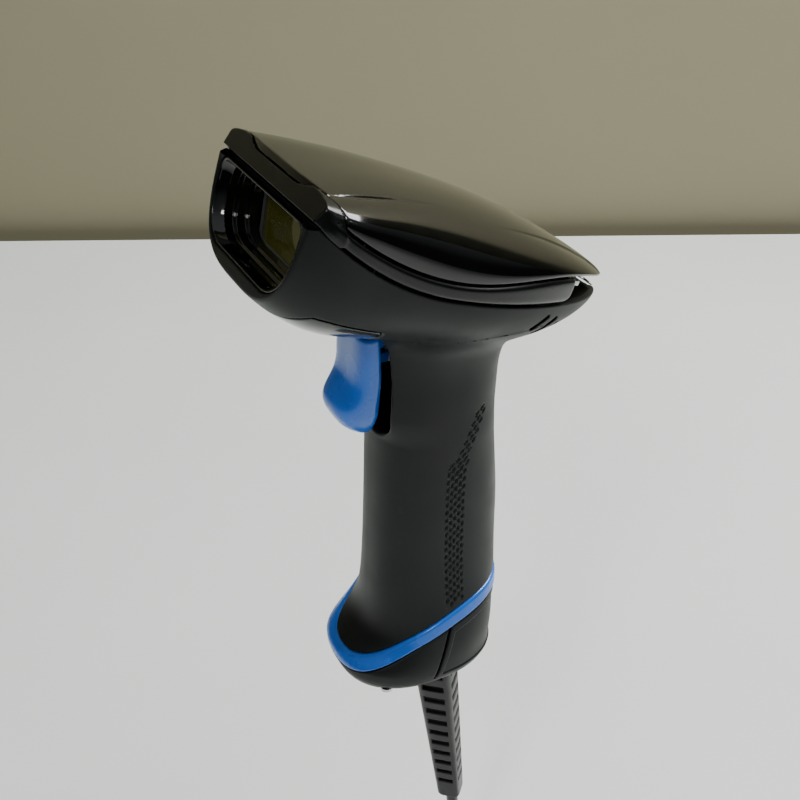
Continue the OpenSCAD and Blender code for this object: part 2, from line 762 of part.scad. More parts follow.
module cable_plug() {
    color("#d9dde0", 0.8) along_boot() difference() {
        translate([-4.9, -4.9, boot_in + 0.1]) cube([9.8, 9.8, 17.4 - boot_in]);
        for (i = [0 : 7]) translate([4, -4 + 1.14 * i - 0.3, 11.4]) cube([2, 0.6, 7]);
    }
}

module plug_contacts() {
    color("#d8b24a") along_boot()
        for (i = [0 : 7]) translate([4.02, -4 + 1.14 * i - 0.18, 11.6]) cube([0.42, 0.36, 5]);
}

// A thin tongue that bends at a round root by the plug's tip, pressed in to free the plug.
module plug_latch() {
    color("#d9dde0", 0.8) along_boot() rotate([90, 0, 0]) translate([0, 0, -2.2]) {
        translate([latch_root[0], latch_root[1], 0]) cylinder(h = 4.4, r = 0.5, $fn = 32);
        linear_extrude(4.4) polygon([[-5.2, 15], [-5.8, 15.4], [-6.3, 13.4], [-6.7, 13.2], [-6.7, 7],
            [-7.1, 3.6], [-6.4, 3.6], [-5.9, 7], [-5.5, 13]]);
    }
}

// Rounded-square boot, narrowing downwards, with gaps that let it flex.
function boot_w(s) = mix(boot_top_w, boot_tip_w, s);

module strain_relief() {
    color("#232528") one_mesh() difference() {
        union() {
            intersection() {
                boot_outside();
                translate([-40, -20, -100]) cube([60, 40, 100 - boot_neck]);
            }
            along_boot() translate([0, 0, -boot_neck - 1])
                cylinder(h = boot_in + boot_neck + 1, r = cable_hole_r - 2 * gap, $fn = 32);
        }
        along_boot() translate([0, 0, -boot_len - 1])
            cylinder(h = boot_len + boot_in + 2, r = cable_d / 2 + 0.15, $fn = 24);
        boot_slots();
    }
}

// Square boot tapering towards its tip, with a spine towards the front.
module boot_outside() {
    along_boot() rotate([0, 0, 45]) skin([for (s = [1, 0])
        let (w = boot_w(s) / 2)
        [for (j = [0 : 15])
            let (a = 360 * (j + 0.5) / 16)
            [w * bow(cos(a), 0.45), w * bow(sin(a), 0.45), mix(boot_in, -boot_len, s)]]]);
}

module boot_slots() {
    collar = 9;
    run = boot_len - 2 * collar;
    along_boot() for (k = [0 : slot_count - 1])
        let (s = pow(k / slot_count, 0.94),
            z = -collar - 3 - run * s,
            w = boot_w(-z / boot_len),
            h = mix(3, 2, s))
        for (q = [45 : 90 : 315]) rotate([0, 0, q])
            translate([w / 2 - 1.7, -w * 0.27, z - h]) cube([4, w * 0.54, h]);
}

function boot_tip() = [jack_x - boot_len * sin(boot_lean), 0, -boot_len * cos(boot_lean)];

// The cable: inside the boot, down to the coil, round it, and out to the USB plug.
function cable_in_boot() = [for (s = [1 : 7 : boot_len - 4])
    [jack_x - s * sin(boot_lean), 0, -s * cos(boot_lean)]];
function cable_drop() = let (tip = boot_tip(), centre = coil_centre())
    [for (k = [1 : 6]) let (t = k / 7)
        [mix(tip[0] - 2, centre[0], pow(t, 2.4)), 0, mix(tip[2] - 4, coil_z, pow(t, 0.8))]];
function cable_coil() = let (centre = coil_centre())
    [for (k = [0 : 28 * coil_turns + 7]) let (a = -90 + 360 * k / 28, r = coil_r + 0.9 * sin(200 * k / 28))
        centre + [r * cos(a), r * sin(a), -(cable_d + 0.35) * k / 28
            - 2.4 * smooth(k, 28 * coil_turns - 10, 28 * coil_turns + 5)]];
function cable_lead() = let (coil = cable_coil(), last = coil[len(coil) - 1])
    [for (s = [1 : 3]) last + [0, 4 * s, 0]];
function cable_path() = concat(cable_in_boot(), cable_drop(), cable_coil(), cable_lead());

module cable_jacket() {
    ups = concat([for (point = concat(cable_in_boot(), cable_drop())) [0, 1, 0]],
        [for (k = [0 : len(cable_coil()) + 2]) [0, 1 - ramp(k, 0, 5), ramp(k, 0, 5)]]);
    color("#1f2124") tube(cable_path(), cable_d / 2, 8, ups);
}

function coil_centre() = let (tip = boot_tip()) [tip[0] + 10, coil_r, coil_z];
function cable_end() = let (path = cable_path()) path[len(path) - 1];

module at_usb() {
    translate(cable_end()) rotate([-90, 0, 0]) children();
}

module usb_overmould() {
    color("#1b1c1f") at_usb() difference() {
        union() {
            translate([0, 0, -8]) cylinder(h = 10, r1 = 3.2, r2 = 3.7, $fn = 40);
            translate([0, 0, 1.5]) rounded_plate([16, 8.2, 24], 2.4);
        }
        translate([0, 0, -9]) cylinder(h = 11, r = cable_d / 2 + 0.4, $fn = 40);
        translate([0, 0, 14]) cube([12.3, 4.8, 30], center = true);
    }
}

module usb_shell() {
    color("#c3c7cb") at_usb() translate([0, 0, 14]) difference() {
        translate([-6, -2.25, 0]) cube([12, 4.5, 23]);
        translate([-5.7, -1.95, 1]) cube([11.4, 3.9, 30]);
        for (x = [-3, 3]) translate([x - 1.2, -4, 17]) cube([2.4, 8, 2.4]);
    }
}

module usb_tongue() {
    color("#f0f0ee") at_usb() translate([-5.6, -0.1, 15.1]) cube([11.2, 1.85, 21]);
}

module usb_contacts() {
    color("#d8b24a") at_usb()
        for (x = [-3.5, -1, 1, 3.5]) translate([x - 0.5, -0.3, 27]) cube([1, 0.18, 7.5]);
}

module cable_tie() {
    stack_h = (coil_turns - 1) * (cable_d + 0.35) + cable_d;
    color("#111214") translate(coil_centre() + [0, coil_r, -stack_h / 2 - 0.2]) {
        difference() {
            cube([3.6, cable_d + 4.6, stack_h + 3.4], center = true);
            cube([5, cable_d + 2.6, stack_h + 1.4], center = true);
        }
        translate([-2.6, cable_d / 2 + 2.4, -2]) cube([5.2, 3, 4.6]);
    }
}

main_body();
upper_frame();
top_cover();
window_bezel();
scan_window();
window_gasket();
chin_plate();
base_ring();
base_shell();
rear_door();
bottom_cap();
chassis();
engine_housing();
lens_barrel();
imaging_lens();
image_sensor();
engine_board();
illumination_leds();
aimer();
main_board();
board_chips();
board_sockets();
flex_cable();
buzzer();
trigger_bracket();
trigger();
trigger_pin();
trigger_spring();
switch_board();
trigger_switch();
switch_plunger();
jack_board();
modular_jack();
jack_contacts();
wire_harness();
frame_screws();
cap_screws();
board_screws();
bracket_screws();
cable_plug();
plug_contacts();
plug_latch();
strain_relief();
cable_jacket();
usb_overmould();
usb_shell();
usb_tongue();
usb_contacts();
cable_tie();
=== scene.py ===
"""Looks of a handheld barcode scanner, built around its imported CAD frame.

The shells are fields in millimetres, in the frame's axes: +X forward, +Y the scanner's left, +Z up.
A field is negative inside a piece and close to the distance from its surface outside.
"""

import json
import math

import bpy
import numpy as np
from mathutils import Matrix, Vector


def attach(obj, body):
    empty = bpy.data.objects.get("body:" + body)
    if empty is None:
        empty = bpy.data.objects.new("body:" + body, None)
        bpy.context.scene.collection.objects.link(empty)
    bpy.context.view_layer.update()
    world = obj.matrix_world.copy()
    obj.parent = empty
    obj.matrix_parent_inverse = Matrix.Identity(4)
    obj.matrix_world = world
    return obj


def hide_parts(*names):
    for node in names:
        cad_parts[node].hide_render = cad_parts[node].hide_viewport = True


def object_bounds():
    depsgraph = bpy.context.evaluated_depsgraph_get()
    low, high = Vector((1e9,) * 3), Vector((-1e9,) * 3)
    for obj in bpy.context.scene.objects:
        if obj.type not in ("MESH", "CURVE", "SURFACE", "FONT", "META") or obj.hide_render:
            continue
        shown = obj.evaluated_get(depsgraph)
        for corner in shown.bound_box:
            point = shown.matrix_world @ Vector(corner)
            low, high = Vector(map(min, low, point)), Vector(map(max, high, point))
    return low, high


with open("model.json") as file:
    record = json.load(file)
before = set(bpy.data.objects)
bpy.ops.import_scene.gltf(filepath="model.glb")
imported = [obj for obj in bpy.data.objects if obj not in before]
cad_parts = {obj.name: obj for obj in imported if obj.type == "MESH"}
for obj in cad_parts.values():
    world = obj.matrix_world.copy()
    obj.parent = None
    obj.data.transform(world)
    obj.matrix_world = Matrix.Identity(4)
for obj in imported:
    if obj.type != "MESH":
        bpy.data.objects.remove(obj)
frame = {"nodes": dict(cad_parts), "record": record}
cad_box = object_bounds()

MM = 0.001
FAR = 1e3                 # a distance beyond the whole scanner

# ---- driving sizes in millimetres, as in the CAD ----------------------------

HEAD_TILT = math.radians(19.5)
HEAD_Z = 146
HEAD_HALF_W = 32.4
TAIL_LEN = 56.5
RIM_U = 52.5
CROWN_H = 14.2
BELLY_H = 26
WALL = 2.2
GAP = 0.25
MOUTH_TOP, MOUTH_BOTTOM = 26.2, 20.6
MOUTH_HIGH, MOUTH_LOW = 4.4, 17.4
MOUTH_CORNER = 3.5
WINDOW_U = 41
COVER_U, HOOD_U = 50, 45.5
GRIP_FRONT, GRIP_BACK, GRIP_HALF_W = 17.1, -25.2, 16.6
GRIP_POWER = 2.3          # squareness of the grip's cross-section
TOE_OUT, BASE_HALF_W = 11, 22.6
RING_FRONT_Z, RING_REAR_Z, RING_H = 6.4, 28.8, 4.6
RING_OUT = 0.45           # how far the ring stands out from the base
CAP_T = 4.7
CAP_HOLE_R = 7.6          # hole in the cap for the boot's neck
CAP_SCREW_X, CAP_SCREW_Y = 17, 14.6
SKIN = 2.4                # wall of the base and of the brow
PIVOT_X, PIVOT_Z = 14, 125.5
PIVOT_R = 1.31
TRIGGER_HALF_W = 9.4
TRIGGER_LOW, TRIGGER_HIGH = 92.4, 125.2
OPENING_HALF_W, OPENING_CORNER = 10.1, 8.2
DIMPLE_PITCH, DIMPLE_COLUMN = 2.75, 1.3
JACK_X = -8
BOOT_LEAN = math.radians(8.5)
BOOT_LEN, BOOT_IN = 86, 3
BOOT_TOP_W, BOOT_TIP_W = 14.4, 8.6
BOOT_SLOTS, BOOT_COLLAR, SLOT_RUN = 11, 12, 68
CABLE_R = 2.2
COIL_R, COIL_TURNS, COIL_Z = 34, 3, -122
COIL_STEPS = 28           # points in one turn of the coil
ROOT_BLEND = 7            # rounding between the head and the grip


# ---- field helpers ----------------------------------------------------------

def mix(a, b, t):
    return a + (b - a) * t


def ramp(x, lo, hi):
    return np.clip((x - lo) / (hi - lo), 0, 1)


def smooth(x, lo, hi):
    t = ramp(x, lo, hi)
    return t * t * (3 - 2 * t)


def cut(a, b, soft=0.4):
    """Both a and b, with a rounded edge where they meet."""
    return np.maximum(a, b) + np.maximum(soft - np.abs(a - b), 0) ** 2 / (4 * soft)


def join(a, b, soft=0.4):
    """Either a or b, with a rounded inner corner."""
    return -cut(-a, -b, soft)


def oval(across, up, half_w, half_h, power):
    """Superellipse, as a distance along the ray from its centre."""
    across, up = np.abs(across) + 1e-3, np.abs(up) + 1e-3
    gauge = ((across / half_w) ** power + (up / half_h) ** power) ** (1 / power)
    return np.hypot(across, up) * (1 - 1 / gauge)


def steady(section, s, step=0.05):
    """Scales a field built of sections along s so that it keeps true distance on slopes."""
    value = section(s)
    return value / np.hypot(1, (section(s + step) - value) / step)


def panel(a, b, half_a, half_b, corner):
    """Rounded rectangle."""
    qa, qb = np.abs(a) - half_a + corner, np.abs(b) - half_b + corner
    return np.hypot(np.maximum(qa, 0), np.maximum(qb, 0)) + np.minimum(np.maximum(qa, qb), 0) - corner


# ---- outline of the head, u forward, y left, v up ---------------------------

def head_axes(p):
    x, z = p[:, 0], p[:, 2] - HEAD_Z
    c, s = math.cos(HEAD_TILT), math.sin(HEAD_TILT)
    return x * c + z * s, p[:, 1], z * c - x * s


def crown(u):
    """Height of the head's top along its middle."""
    rear = np.maximum(20 - u, 0) / (20 + TAIL_LEN)
    front = CROWN_H - 2.9 * ((u - 20) / 31.5) ** 2
    return np.where(u > 20, front, CROWN_H - (CROWN_H - 1.6) * rear ** 2.2)


def belly(u):
    """Height of the head's underside along its middle."""
    rear = np.maximum(33 - u, 0) / (33 + TAIL_LEN)
    front = -BELLY_H + 5.6 * ((u - 33) / 19.5) ** 2
    return np.where(u > 33, front, -BELLY_H + (BELLY_H - 1) * rear ** 2.75)


def half_width(u):
    front = 4.4 * (np.maximum(u - 35, 0) / (RIM_U - 35)) ** 2.6
    rear = np.minimum(np.maximum(15 - u, 0) / (15 + TAIL_LEN + 0.4), 1)
    return HEAD_HALF_W * (1 - rear ** 2.3) ** 0.62 - front


def cover_edge(u):
    """Height of the glossy cover's lower border."""
    rear = 1.4 - 2.4 * np.cos(np.pi * (12 - u) / 42)
    return np.where(u > 12, -1 + 10.5 * ((u - 12) / 40) ** 2, rear)


def seam(u):
    """Height of the parting line between the body and the frame above it."""
    rear = -4.5 - 1.5 * np.cos(np.pi * (12 - u) / 68)
    return np.where(u > 12, -6 + 11.5 * ((u - 12) / 40) ** 2, rear)


def cover_front(y):
    """Front edge of the glossy cover, swept back at its ends."""
    return COVER_U - (COVER_U - HOOD_U) * np.minimum(1, np.abs(y) / 31) ** 3


def upper_head(u, y, v, inset=0.0):
    def section(u):
        half = np.maximum(half_width(u) - inset, 0.4)
        rise = np.maximum(crown(u) - inset - cover_edge(u), 0.3)
        power = mix(2.1, 3, smooth(u, -20, RIM_U))
        return oval(y, np.maximum(v - cover_edge(u), 0), half, rise, power)
    return cut(steady(section, u), -TAIL_LEN + inset - u, 2)


def lower_head(u, y, v, inset=0.0):
    def section(u):
        top = seam(u)
        drop = np.maximum(top - belly(u) - inset, 0.3)
        down = np.clip((top - v) / drop, 0, 1.3)
        half = np.maximum(half_width(u) - inset, 0.4) * (1 - 0.1 * smooth(u, 25, RIM_U) * down)
        power = mix(2.2, 3.4, smooth(u, 10, RIM_U)) + 0.6 * smooth(-u, 8, 30)
        return oval(y, np.minimum(v - top, 0), half, drop, power)
    return cut(steady(section, u), -TAIL_LEN + inset - u, 2)


def mouth(y, v, side, edge):
    """Bulging outline of the hood's mouth, shrunk at its sides and at its top and bottom edges."""
    high, low = MOUTH_HIGH - edge, edge - MOUTH_LOW
    drop = ramp(-3 - v, 0, MOUTH_LOW - 3)
    half = MOUTH_TOP - side - (MOUTH_TOP - MOUTH_BOTTOM) * drop ** 1.7
    flank = (np.abs(y) - half) * 0.94
    return cut(np.maximum(v - high, low - v), flank, MOUTH_CORNER + 3 * smooth(-v, 4, 14))


# ---- outline of the grip and base -------------------------------------------

def toe(z):
    """How far the base's toe stands out in front of the grip."""
    fade = np.exp(-(np.maximum(z - 8.6, 0) / 7.6) ** 1.6)
    return np.where(z < 7, TOE_OUT - 2.6 * (1 - z / 7) ** 2, TOE_OUT * fade)


def root(z):
    """Flare of the grip's top into the head, 0 to 1."""
    return ramp(z, 106, 128) ** 2.4


def front_x(z):
    return GRIP_FRONT + toe(z) + 3.4 * smooth(z, 89, 99) + 1.5 * root(z)


def rear_x(z):
    return GRIP_BACK + 1.1 * smooth(z, 30, 62) + 3.8 * smooth(z, 55, 97) - 9 * root(z)


def side_y(z):
    foot = BASE_HALF_W - 3.8 * (1 - z / 8) ** 2
    flare = mix(GRIP_HALF_W, BASE_HALF_W, np.exp(-((z - 8) / 24) ** 2))
    return np.where(z < 8, foot, flare + 6 * root(z))


def grip(p, inset=0.0):
    def section(z):
        half = (front_x(z) - rear_x(z)) / 2 - inset
        middle = (front_x(z) + rear_x(z)) / 2
        return oval(p[:, 0] - middle, p[:, 1], half, side_y(z) - inset, GRIP_POWER)
    return steady(section, p[:, 2])


def ring_z(p):
    """Level of the blue ring's lower edge at the outside of the base, rising from toe to heel."""
    front, back = GRIP_FRONT + TOE_OUT, GRIP_BACK
    half, middle = (front - back) / 2, (front + back) / 2
    across, along = np.abs(p[:, 1]) / BASE_HALF_W, (p[:, 0] - middle) / half
    gauge = (across ** GRIP_POWER + np.abs(along) ** GRIP_POWER) ** (1 / GRIP_POWER)
    gauge = np.maximum(gauge, 0.3)
    t = np.clip((1 - along / gauge) / 2, 0, 1)
    return RING_FRONT_Z + (RING_REAR_Z - RING_FRONT_Z) * (t + 0.8 * t * (1 - t))


def groove_x(z):
    """Slanted groove between the front of the base and its rear door."""
    return 7.4 - 14 * (z + 5) / 45


def outer_body(p):
    u, y, v = head_axes(p)
    return join(lower_head(u, y, v), grip(p), ROOT_BLEND)


# ---- shells -----------------------------------------------------------------

def dimples(p):
    """Depth of the staggered rows of small dents on both flanks of the grip."""
    x, y, z = p.T
    lean = np.maximum(z - 81, 0)
    middle = mix(-3.6, -2.2, ramp(z, 33, 70)) - 0.42 * lean
    column = np.round((x - middle) / DIMPLE_COLUMN)
    odd = np.mod(column, 2) * 0.5
    row = np.round(z / DIMPLE_PITCH - odd)
    height = (row + odd) * DIMPLE_PITCH
    dx = (x - middle - column * DIMPLE_COLUMN) / 0.58
    dz = (z - height) / 0.95
    slant = dx * dx + (dz + 0.35 * dx) ** 2
    wide = np.where(height > 84, 1, 2)
    keep = (np.abs(column) <= wide) & (np.abs(y) > 9) & (height < 99.5)
    keep &= height > ring_z(p) + RING_H + 2.6
    return np.where(keep, 0.55 * np.maximum(1 - slant, 0), 0)


def sound_slots(u, y, v):
    """Three slanted slots on the left of the tail."""
    nearest = np.full(len(u), FAR)
    turn = math.radians(48)
    for i in (-1, 0, 1):
        du, dv = u + 25.4 + 3.5 * i, v + 10.9 + 1.3 * i
        along = du * math.cos(turn) - dv * math.sin(turn)
        across = du * math.sin(turn) + dv * math.cos(turn)
        half = 4.25 if i == 0 else 3.25
        nearest = np.minimum(nearest, panel(along, across, half, 0.6, 0.45))
    return np.maximum(nearest, 8 - y)


def trigger_opening(p):
    """Opening with round lower corners and a floor that slopes forward."""
    x, z = p[:, 0], p[:, 2]
    floor = 92 - 0.16 * (x - 8) + 0.44 * np.maximum(x - 24, 0)
    roof = np.where(x < 17.6, 130.5, 125.8)
    a, b = np.abs(p[:, 1]) - OPENING_HALF_W + OPENING_CORNER, floor - z + OPENING_CORNER
    hole = np.hypot(np.maximum(a, 0), np.maximum(b, 0)) + np.minimum(np.maximum(a, b), 0)
    hole = hole - OPENING_CORNER
    hole = cut(hole, 8 - x, 0.3)
    return np.maximum(hole, z - roof)


def under_chin(u, v, grow):
    """Everything under the chin's parting line, which drops towards the front."""
    drop = 0.05 * np.maximum(40 - u, 0) + 1.1 * np.maximum(u - 43.4, 0) + 2.5 * np.maximum(u - 47, 0)
    line = (v + 17.2 + drop) * mix(1, 0.6, smooth(u, 42.5, 45))
    return cut(line, 24 - u, 2) - grow


def main_body(p):
    u, y, v = head_axes(p)
    outside = outer_body(p)
    inside = join(lower_head(u, y, v, WALL), grip(p, WALL), ROOT_BLEND)
    inside = cut(inside, u - (RIM_U - 8))
    shell = cut(outside + dimples(p), v - seam(u), 0.5)
    shell = cut(shell, u - RIM_U, 0.6)
    shell = cut(shell, -inside, 0.3)
    mouth_hole = np.maximum(mouth(y, v, 2 * GAP, 2 * GAP), RIM_U - 14 - u)
    shell = cut(shell, -mouth_hole, 0.3)
    shell = cut(shell, ring_z(p) + RING_H + GAP - p[:, 2], 0.5)
    shell = cut(shell, -trigger_opening(p), 1.2)
    recess = np.maximum(under_chin(u, v, GAP), -outside - 1.5)
    shell = cut(shell, -recess, 0.5)
    return cut(shell, -sound_slots(u, y, v), 0.4)


def bead(u, y, v):
    """Rounded band along both sides, between the seam and the cover."""
    def section(u):
        low, high = seam(u) + GAP, cover_edge(u) - GAP
        out = half_width(np.maximum(u, -TAIL_LEN + 0.02)) + 0.6
        tall = np.maximum((high - low) / 2, 0.5)
        return oval(np.abs(y) - out + 4, v - (low + high) / 2, 4, tall, 3.6)
    return cut(steady(section, u), -TAIL_LEN - 0.45 - u, 1.2)


def upper_frame(p):
    """Brow over the window's hood, running back as a bead along both sides."""
    u, y, v = head_axes(p)
    half = half_width(u)
    above = v > cover_edge(u)
    brow = np.where(above, upper_head(u, y, v), np.abs(y) - half)
    ledge = np.maximum(upper_head(u, y, v, 2 + GAP), cover_front(y) - 4 - u)
    brow = np.minimum(cut(brow, cover_front(y) + GAP - u, 0.3), ledge)
    brow = cut(brow, seam(u) + GAP - v, 0.4)
    lean = math.radians(24)
    face = (u - RIM_U - 0.2) * math.cos(lean) + (v - 4) * math.sin(lean)
    brow = cut(brow, np.maximum(face, u - RIM_U), 0.5)
    band = cut(bead(u, y, v), u - RIM_U + 4, 2)
    hollow = np.where(above, upper_head(u, y, v, SKIN), np.abs(y) - half + SKIN)
    hollow = np.maximum(hollow, u - RIM_U + 3)
    hollow = np.maximum(hollow, np.where(above, u - cover_front(y) + 4, -FAR))
    whole = cut(join(brow, band, 2.4), -hollow, 0.3)
    return cut(whole, -mouth(y, v, 2 * GAP, 2 * GAP), 0.4)


def crease(past):
    """Step that is sharp at a character line and fades beyond it."""
    return smooth(past, -0.1, 0.9) * np.exp(-ramp(past, 1, 9) * 3)


def creases(u, y):
    """How far the cover's flanks step in below its two pairs of character lines."""
    side = np.abs(y)
    front_line = mix(17.2, 23.6, ramp(u, 14, 50))
    front = 0.9 * smooth(u, 13, 44) * crease(side - front_line)
    rear_line = mix(20.4, 10.5, ramp(-u, -2, 44))
    rear = 0.8 * smooth(-u, 0, 34) * crease(side - rear_line)
    return front + rear * ramp(u + TAIL_LEN, 3, 12)


def top_cover(p):
    u, y, v = head_axes(p)
    outside = upper_head(u, y, v) + creases(u, y)
    shell = cut(outside, cover_edge(u) - v, 0.7)
    shell = cut(shell, u - cover_front(y), 0.7)
    return cut(shell, -upper_head(u, y, v, 2), 0.3)


def window_bezel(p):
    """Lining of the hood, with lips that step inwards towards the window."""
    u, y, v = head_axes(p)
    front = RIM_U - 0.3
    steps = np.clip((front - u) / (front - WINDOW_U) * 4, 0, 3.99)
    share = steps - np.floor(steps)
    step = np.where(steps < 1, share ** 1.5, np.floor(steps) + smooth(share, 0.82, 1))
    step = np.minimum(step, 3)
    wall = mouth(y, v, 0.75, 0.75)
    hole = mouth(y, v, 1.4 + 1.65 * step, 1.2 + 0.9 * step)
    wall = cut(wall, np.maximum(u - front, WINDOW_U - u), 0.35)
    return cut(wall, -hole, 0.35)


def chin_plate(p):
    u, y, v = head_axes(p)
    outside = outer_body(p)
    return cut(under_chin(u, v, 0), np.maximum(outside + 0.1, -outside - 1.2), 0.5)


def base_ring(p):
    low = ring_z(p)
    band = np.maximum(low - p[:, 2], p[:, 2] - low - RING_H)
    ring = cut(grip(p) - RING_OUT, band, 1.1)
    return cut(ring, -grip(p, SKIN), 0.3)


def base_wall(p):
    """Wall of the base between the cap and the ring, recessed behind the groove."""
    z = p[:, 2]
    border = np.maximum(z - ring_z(p) + 2.6, CAP_T + 1.4 - z)
    border = np.maximum(border, p[:, 0] - groove_x(z) + 2.2)
    outside = grip(p) + 0.45 * smooth(-border, 0, 0.6)
    wall = cut(outside, np.maximum(z - ring_z(p) + GAP, CAP_T + GAP - z), 0.5)
    return cut(wall, -grip(p, SKIN), 0.3)


def base_shell(p):
    return cut(base_wall(p), (groove_x(p[:, 2]) + 0.15 - p[:, 0]) * 0.95, 0.5)


def rear_door(p):
    door = cut(base_wall(p), (p[:, 0] - groove_x(p[:, 2]) + 0.7) * 0.95, 0.5)
    pinhole = np.maximum(np.hypot(p[:, 1], p[:, 2] - 8.4) - 1.1, p[:, 0] + 10)
    return cut(door, -pinhole, 0.3)


def bottom_cap(p):
    x, y, z = p.T
    cap = cut(cut(grip(p, 0.3), z - CAP_T, 0.4), -z, 0.9)
    cap = cut(cap, -np.maximum(grip(p, 3), CAP_T - 2 - z), 0.3)
    bx, by, _ = boot_axes(p)
    cap = cut(cap, CAP_HOLE_R - np.hypot(bx, by), 0.5)
    screw = np.hypot(x - CAP_SCREW_X, np.abs(y) - CAP_SCREW_Y)
    return cut(cap, -np.minimum(screw - 1.3, np.maximum(screw - 2.4, z - 1.3)), 0.3)


def trigger(p):
    x, y, z = p.T

    def section(z):
        front = 26.2 + 4.4 * np.exp(-((z - 101.5) / 6.2) ** 2) - 5.5 * ramp(97.5 - z, 0, 5.5) ** 2
        back = 17.7 + 2.8 * (1 - ramp(z, 92, 101)) ** 1.6 + 0.7 * ramp(z, 112, 122)
        half = TRIGGER_HALF_W * (1 - (1 - ramp(z, 91, 106)) ** 2.6) ** 0.5
        middle = mix(back, front, 0.38)
        reach = np.where(x > middle, front - middle, middle - back)
        dish = 0.9 * smooth(z, 103, 110) * (1 - np.clip(y / TRIGGER_HALF_W, -1, 1) ** 2)
        depth = x - middle + np.where(x > middle, dish, 0)
        return oval(depth, y, reach, np.maximum(half, 0.5), 2.9)

    face = cut(steady(section, z), np.maximum(z - TRIGGER_HIGH, TRIGGER_LOW - z), 2.2)
    pocket = np.maximum(panel(y, z - 108, 6.2, 10, 1), x - 21)
    face = cut(face, -pocket, 0.4)
    px, pz = x - PIVOT_X, z - PIVOT_Z
    ahead, down = 6.9, 4.5
    t = np.clip((px * ahead - pz * down) / (ahead ** 2 + down ** 2), 0, 1)
    arm = np.hypot(px - ahead * t, pz + down * t) - mix(3.1, 2.4, t)
    arm = cut(arm, np.abs(np.abs(y) - 5.3) - 1.1, 0.4)
    rib = cut(np.maximum(panel(y, z - 113.5, 1.5, 1.5, 0.3), 13.1 - x), x - 22, 0.3)
    whole = join(join(face, arm, 0.6), rib, 0.4)
    return cut(whole, PIVOT_R - np.hypot(px, pz), 0.2)


def boot_axes(p):
    """Across and along the boot, turned so that its corners face forward, back and sideways."""
    x, z = p[:, 0] - JACK_X, p[:, 2]
    c, s = math.cos(BOOT_LEAN), math.sin(BOOT_LEAN)
    across, along = x * c - z * s, x * s + z * c
    half = math.sqrt(0.5)
    return (across + p[:, 1]) * half, (p[:, 1] - across) * half, along


def boot_width(along):
    return mix(BOOT_TIP_W, BOOT_TOP_W, ramp(along, -BOOT_LEN, BOOT_IN))


def strain_relief(p):
    bx, by, bz = boot_axes(p)
    half = boot_width(bz) / 2
    body = oval(bx, by, half, half, 4.4)
    body = cut(body, np.maximum(p[:, 2] + GAP, -BOOT_LEN - bz), 0.9)
    slots = np.full(len(bz), FAR)
    for k in range(BOOT_SLOTS):
        s = (k / BOOT_SLOTS) ** 0.94
        height = mix(3, 2, s)
        middle = -BOOT_COLLAR - SLOT_RUN * s - height / 2
        slots = np.minimum(slots, np.abs(bz - middle) - height / 2)
    deep = np.maximum(np.abs(bx), np.abs(by))
    wide = np.minimum(np.abs(bx), np.abs(by))
    pocket = np.maximum(np.maximum(slots, half - 1.7 - deep), wide - half * 0.6)
    body = cut(body, -pocket, 0.45)
    radius = np.hypot(bx, by)
    neck = cut(radius - CAP_HOLE_R + 2 * GAP, np.maximum(bz - BOOT_IN, -2 - bz), 0.4)
    return cut(np.minimum(body, neck), CABLE_R + 0.15 - radius, 0.2)


# ---- meshing ----------------------------------------------------------------

BLOCK = 6                 # fine cells along a coarse one
NEAR = 1.7                # a block this many widths from the surface is sampled finely
BATCH = 400000
MARGIN = 1.5


def coarse_blocks(field, low, count, cell):
    """Field values at the middles of the coarse blocks."""
    axes = [low[i] + (np.arange(count[i]) + 0.5) * cell * BLOCK for i in range(3)]
    centres = np.stack(np.meshgrid(*axes, indexing="ij"), -1).reshape(-1, 3)
    return field(centres).reshape(count)


def spread(a):
    """Values of the coarse blocks, repeated over their fine grid points."""
    for axis in range(3):
        a = np.repeat(a, BLOCK, axis)
    return np.pad(a, [(0, 1)] * 3, mode="edge")


def sample(field, low, high, cell):
    """Field values on a grid, worked out only near the surface."""
    count = np.ceil((high - low) / (cell * BLOCK)).astype(int)
    coarse = coarse_blocks(field, low, count, cell)
    near = spread(np.abs(coarse) < cell * BLOCK * NEAR)
    for axis in range(3):
        moved = np.roll(near, 1, axis)
        near |= moved
    values = spread(np.where(coarse < 0, -1.0, 1.0))
    spots = np.argwhere(near)
    for start in range(0, len(spots), BATCH):
        part = spots[start:start + BATCH]
        values[tuple(part.T)] = field(low + part * cell)
    return values


def surface_net(values):
    """Vertices, in cells, and quads of the surface where the values change sign."""
    inside = values < 0
    shape = np.array(values.shape)
    stride = np.array([shape[1] * shape[2], shape[2], 1])
    owners, points = [], []
    for axis in range(3):
        lower = [slice(None)] * 3
        upper = [slice(None)] * 3
        lower[axis], upper[axis] = slice(None, -1), slice(1, None)
        edges = np.argwhere(inside[tuple(lower)] != inside[tuple(upper)])
        step = np.zeros(3, int)
        step[axis] = 1
        a, b = values[tuple(edges.T)], values[tuple((edges + step).T)]
        crossing = edges + step * (a / (a - b))[:, None]
        one, two = np.zeros(3, int), np.zeros(3, int)
        one[(axis + 1) % 3] = two[(axis + 2) % 3] = 1
        cells = np.stack([edges - one - two, edges - two, edges, edges - one], 1)
        cells[a > b] = cells[a > b][:, ::-1]
        owners.append(cells @ stride)
        points.append(crossing)
    owners, points = np.concatenate(owners), np.concatenate(points)
    names, flat = np.unique(owners.ravel(), return_inverse=True)
    quads = flat.reshape(-1, 4)
    total = np.bincount(flat)
    repeated = np.repeat(points, 4, 0)
    vertices = np.stack([np.bincount(flat, repeated[:, i]) / total for i in range(3)], 1)
    return vertices, quads


def gradient(field, p, step=0.04):
    slopes = []
    for axis in range(3):
        d = np.zeros(3)
        d[axis] = step
        slopes.append((field(p + d) - field(p - d)) / (2 * step))
    return np.stack(slopes, 1)


